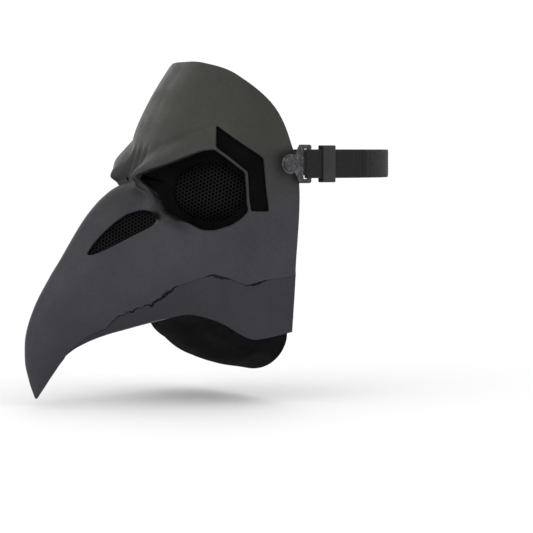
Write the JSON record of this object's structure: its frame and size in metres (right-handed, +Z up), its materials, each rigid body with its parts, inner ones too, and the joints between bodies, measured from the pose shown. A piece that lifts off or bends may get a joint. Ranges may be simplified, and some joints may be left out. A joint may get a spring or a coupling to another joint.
{
  "type": "plague doctor mask",
  "caption": "Hooked-beak plague doctor half mask with meshed eye sockets, split upper and lower mouldings, chin cloth and an adjustable elastic head strap.",
  "frame": {"origin": "midway between the two strap rivets at the temples, on the mirror plane", "axes": "+Y towards the back of the head, so that the beak points along -Y; +Z up; +X to the wearer's left"},
  "size_m": [0.1766, 0.2779, 0.2385],
  "materials": {
    "shell": "satin dark grey moulding, slightly warm on the forehead",
    "jaw": "darker satin grey moulding",
    "strip": "matt black joining strip",
    "liner": "matt black liner",
    "mesh": "black perforated mesh",
    "foam": "dark open-cell foam",
    "cloth": "black knitted cloth",
    "elastic": "black woven elastic",
    "metal": "blackened steel",
    "plastic": "black moulded plastic"
  },
  "bodies": {
    "mask": {"face_shell": "shell", "lower_jaw": "jaw", "left_seam_strip": "strip", "right_seam_strip": "strip", "left_eye_cup": "liner", "right_eye_cup": "liner", "left_eye_mesh": "mesh", "right_eye_mesh": "mesh", "left_temple_liner": "liner", "right_temple_liner": "liner", "left_nostril_mesh": "mesh", "right_nostril_mesh": "mesh", "forehead_pad": "foam", "left_cheek_pad": "foam", "right_cheek_pad": "foam", "chin_cover": "cloth", "left_strap_rivet": "metal", "right_strap_rivet": "metal", "left_rivet_washer": "metal", "right_rivet_washer": "metal", "left_rivet_spacer": "plastic", "right_rivet_spacer": "plastic"},
    "strap": {"head_strap": "elastic", "left_strap_anchor": "metal", "right_strap_anchor": "metal"},
    "left_slider": {"left_slider": "plastic"},
    "right_slider": {"right_slider": "plastic"}
  },
  "joints": [
    {"name": "strap_swing", "type": "hinge", "parent": "mask", "child": "strap", "pos_m": [0, 0, 0], "axis": [1, 0, 0], "range_deg": [-70, 110]},
    {"name": "left_slider_slide", "type": "slide", "parent": "strap", "child": "left_slider", "axis": [0, 1, 0], "range_m": [-0.007, 0.021]},
    {"name": "right_slider_slide", "type": "slide", "parent": "strap", "child": "right_slider", "axis": [0, 1, 0], "range_m": [-0.007, 0.021]}
  ]
}
